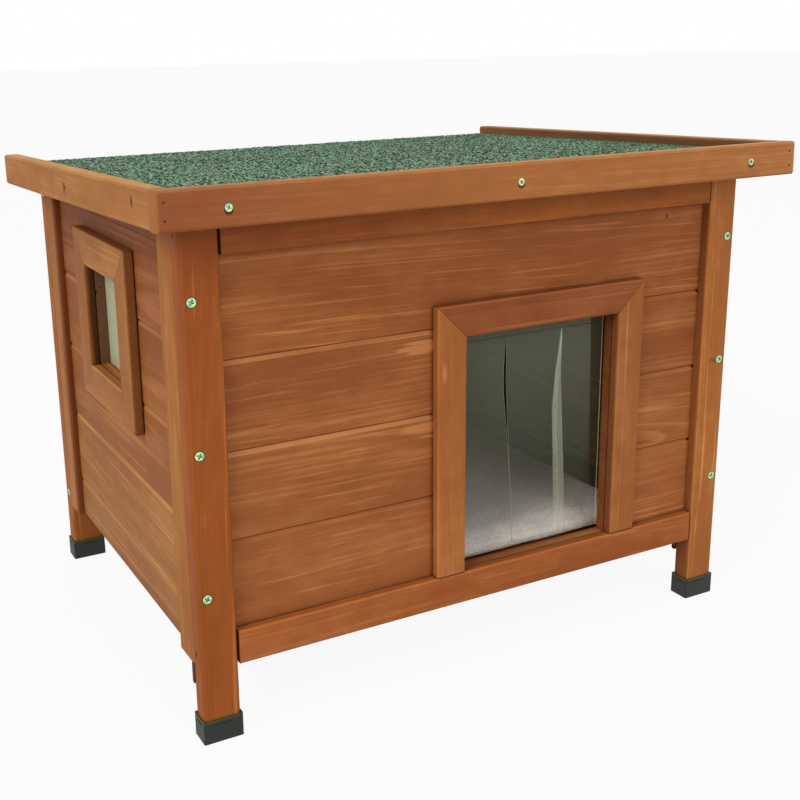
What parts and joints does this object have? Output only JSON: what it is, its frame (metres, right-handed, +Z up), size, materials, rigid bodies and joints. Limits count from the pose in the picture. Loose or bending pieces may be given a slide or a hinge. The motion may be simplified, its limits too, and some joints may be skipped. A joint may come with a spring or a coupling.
{
  "type": "cat house",
  "caption": "Small outdoor cat house: boarded box on four capped legs, flat felted roof that hinges up at the rear, side window and a doorway with a clear strip curtain.",
  "frame": {"origin": "on the ground, under the centre of the roof's outline", "axes": "+Z up, the doorway faces -Y, +X to the right of someone facing the doorway"},
  "size_m": [0.57, 0.4605, 0.4319],
  "materials": {
    "stained_pine": "satin orange-brown stain with open grain",
    "inner_board": "matt brown stain",
    "foot_rubber": "moulded black, matt",
    "zinc_steel": "pale zinc plating",
    "mineral_felt": "bitumen felt with grey-green mineral granules",
    "clear_pvc": "clear, slightly hazy sheet",
    "window_sheet": "clear flat sheet",
    "fleece": "short fleece pile"
  },
  "bodies": {
    "house": {"front_leg_left": "stained_pine", "front_leg_right": "stained_pine", "rear_leg_left": "stained_pine", "rear_leg_right": "stained_pine", "foot_cap_front_left": "foot_rubber", "foot_cap_front_right": "foot_rubber", "foot_cap_rear_left": "foot_rubber", "foot_cap_rear_right": "foot_rubber", "rest_blocks": "inner_board", "front_bottom_rail": "stained_pine", "front_top_rail": "stained_pine", "rear_bottom_rail": "stained_pine", "rear_top_rail": "stained_pine", "front_board_1": "stained_pine", "front_board_2": "stained_pine", "front_board_3": "stained_pine", "front_board_4": "stained_pine", "rear_boards": "stained_pine", "side_post_left_front": "stained_pine", "side_post_left_rear": "stained_pine", "side_post_right_front": "stained_pine", "side_post_right_rear": "stained_pine", "left_board_1": "stained_pine", "left_board_2": "stained_pine", "left_board_3": "stained_pine", "left_board_4": "stained_pine", "left_board_5": "stained_pine", "left_filler": "stained_pine", "right_boards": "stained_pine", "right_filler": "stained_pine", "door_trim_left": "stained_pine", "door_trim_right": "stained_pine", "door_trim_top": "stained_pine", "window_trim_top": "stained_pine", "window_trim_bottom": "stained_pine", "window_trim_front": "stained_pine", "window_trim_rear": "stained_pine", "window_pane": "window_sheet", "curtain_header": "clear_pvc", "curtain_batten": "inner_board", "floor_bearers": "inner_board", "floor_panel": "inner_board", "floor_cushion": "fleece", "frame_screws": "zinc_steel", "frame_nails": "zinc_steel", "small_screws": "zinc_steel", "hinge_leaves_fixed": "zinc_steel", "hinge_pins": "zinc_steel"},
    "roof": {"roof_board": "inner_board", "roof_felt": "mineral_felt", "roof_edge_front": "stained_pine", "roof_edge_left": "stained_pine", "roof_edge_right": "stained_pine", "roof_screws": "zinc_steel", "roof_nails": "zinc_steel", "hinge_leaves_moving": "zinc_steel"},
    "strip_left": {"curtain_strip_left": "clear_pvc"},
    "strip_middle": {"curtain_strip_middle": "clear_pvc"},
    "strip_right": {"curtain_strip_right": "clear_pvc"}
  },
  "joints": [
    {"name": "roof_hinge", "type": "hinge", "parent": "house", "child": "roof", "pos_m": [0, 0.20805, 0.39624], "axis": [-1, 0, 0], "range_deg": [0, 100]},
    {"name": "curtain_left", "type": "hinge", "parent": "house", "child": "strip_left", "pos_m": [0.00325, -0.17445, 0.2815], "axis": [1, 0, 0], "range_deg": [-80, 80]},
    {"name": "curtain_middle", "type": "hinge", "parent": "house", "child": "strip_middle", "pos_m": [0.0565, -0.17445, 0.2815], "axis": [1, 0, 0], "range_deg": [-80, 80]},
    {"name": "curtain_right", "type": "hinge", "parent": "house", "child": "strip_right", "pos_m": [0.10775, -0.17445, 0.2815], "axis": [1, 0, 0], "range_deg": [-80, 80]}
  ]
}
